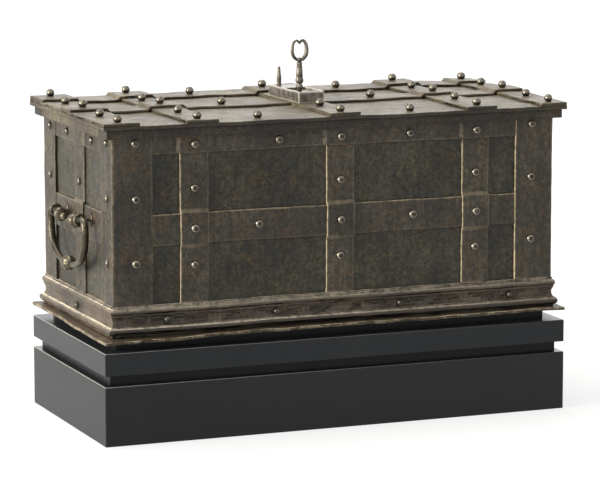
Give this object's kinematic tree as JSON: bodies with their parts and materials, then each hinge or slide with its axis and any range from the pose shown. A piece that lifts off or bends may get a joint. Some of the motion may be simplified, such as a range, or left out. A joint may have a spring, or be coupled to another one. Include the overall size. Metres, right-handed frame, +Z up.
{
  "type": "strongbox",
  "caption": "Iron strongbox bound with riveted straps, with a key-locked hinged lid, drop handles on both ends and a stepped black plinth under it.",
  "frame": {"origin": "on the floor, under the middle of the plinth", "axes": "+X to the right along the box, +Z up, the front faces -Y"},
  "size_m": [0.9248, 0.43, 0.6891],
  "materials": {
    "black_lacquer": "satin black lacquer on board",
    "worn_board": "dark stained, worn to golden brown along the edge",
    "polished_studs": "hand-worn bright steel",
    "lock_steel": "worn bare steel",
    "lock_works": "dark oiled steel",
    "handle_iron": "forged iron, polished by handling",
    "lid_iron": "pitted grey-brown forged iron",
    "sheet_iron": "dark brown-black sheet iron, mottled",
    "moulding_iron": "worn forged iron with bright edges",
    "strap_iron": "dark brown strap iron with worn golden edges"
  },
  "bodies": {
    "chest": {"back_hinge_straps": "strap_iron", "back_left_corner": "strap_iron", "back_middle_band": "strap_iron", "back_moulding": "moulding_iron", "back_panel": "sheet_iron", "back_right_corner": "strap_iron", "back_top_band": "strap_iron", "body_studs": "polished_studs", "bottom_board": "worn_board", "end_uprights": "strap_iron", "floor_plate": "sheet_iron", "front_left_corner": "strap_iron", "front_middle_band": "strap_iron", "front_moulding": "moulding_iron", "front_panel": "sheet_iron", "front_right_corner": "strap_iron", "front_top_band": "strap_iron", "front_upright_left": "strap_iron", "front_upright_middle": "strap_iron", "front_upright_right": "strap_iron", "handle_eyes": "handle_iron", "hinge_pins": "strap_iron", "left_middle_band": "strap_iron", "left_moulding": "moulding_iron", "left_panel": "sheet_iron", "left_top_band": "strap_iron", "plinth_base": "black_lacquer", "plinth_reveal": "black_lacquer", "plinth_riser": "black_lacquer", "plinth_slab": "black_lacquer", "right_middle_band": "strap_iron", "right_moulding": "moulding_iron", "right_panel": "sheet_iron", "right_top_band": "strap_iron", "rim_rails": "strap_iron"},
    "lid": {"lid_cross_strap_1": "lid_iron", "lid_cross_strap_2": "lid_iron", "lid_cross_strap_3": "lid_iron", "lid_cross_strap_4": "lid_iron", "lid_cross_strap_5": "lid_iron", "lid_end_rails": "lid_iron", "lid_hinge_leaves": "lid_iron", "lid_long_rails": "lid_iron", "lid_middle_strap": "lid_iron", "lid_plate": "lid_iron", "lid_rear_strap": "lid_iron", "lid_studs": "polished_studs", "key_box": "lock_steel", "lock_plate": "lock_works", "bolt_staples": "lock_works", "lock_bridge": "lock_works"},
    "key": {"key": "lock_steel"},
    "cam": {"cam": "lock_works"},
    "left_bolt": {"left_bolt": "lock_works"},
    "right_bolt": {"right_bolt": "lock_works"},
    "front_bolt": {"front_bolt": "lock_works"},
    "rear_bolt": {"rear_bolt": "lock_works"},
    "keyhole_cover": {"keyhole_cover": "lock_steel"},
    "left_bail": {"left_bail": "handle_iron"},
    "right_bail": {"right_bail": "handle_iron"}
  },
  "joints": [
    {"name": "lid_hinge", "type": "hinge", "parent": "chest", "child": "lid", "pos_m": [0, 0.2005, 0.536], "axis": [-1, 0, 0], "range_deg": [0, 95]},
    {"name": "key_turn", "type": "hinge", "parent": "lid", "child": "key", "pos_m": [0.005, 0.003, 0.6], "axis": [0, 0, -1], "range_deg": [0, 90]},
    {"name": "cam_turn", "type": "hinge", "parent": "lid", "child": "cam", "pos_m": [0.005, 0.003, 0.55], "axis": [0, 0, -1], "range_deg": [0, 90]},
    {"name": "left_bolt_slide", "type": "slide", "parent": "lid", "child": "left_bolt", "axis": [-1, 0, 0], "range_m": [0, 0.02263]},
    {"name": "right_bolt_slide", "type": "slide", "parent": "lid", "child": "right_bolt", "axis": [1, 0, 0], "range_m": [0, 0.02263]},
    {"name": "front_bolt_slide", "type": "slide", "parent": "lid", "child": "front_bolt", "axis": [0, -1, 0], "range_m": [0, 0.02262]},
    {"name": "rear_bolt_slide", "type": "slide", "parent": "lid", "child": "rear_bolt", "axis": [0, 1, 0], "range_m": [0, 0.02263]},
    {"name": "cover_slide", "type": "slide", "parent": "lid", "child": "keyhole_cover", "axis": [0, -1, 0], "range_m": [0, 0.02]},
    {"name": "left_bail_swing", "type": "hinge", "parent": "chest", "child": "left_bail", "pos_m": [-0.45, -0.005, 0.388], "axis": [0, 1, 0], "range_deg": [-3, 180]},
    {"name": "right_bail_swing", "type": "hinge", "parent": "chest", "child": "right_bail", "pos_m": [0.45, -0.005, 0.388], "axis": [0, -1, 0], "range_deg": [-3, 180]}
  ],
  "couplings": [
    {"joint": "key_turn", "follows": "front_bolt_slide", "rad_per_m": 69.44},
    {"joint": "cam_turn", "follows": "front_bolt_slide", "rad_per_m": 69.44},
    {"joint": "left_bolt_slide", "follows": "front_bolt_slide", "ratio": 1},
    {"joint": "right_bolt_slide", "follows": "front_bolt_slide", "ratio": 1},
    {"joint": "rear_bolt_slide", "follows": "front_bolt_slide", "ratio": 1}
  ]
}
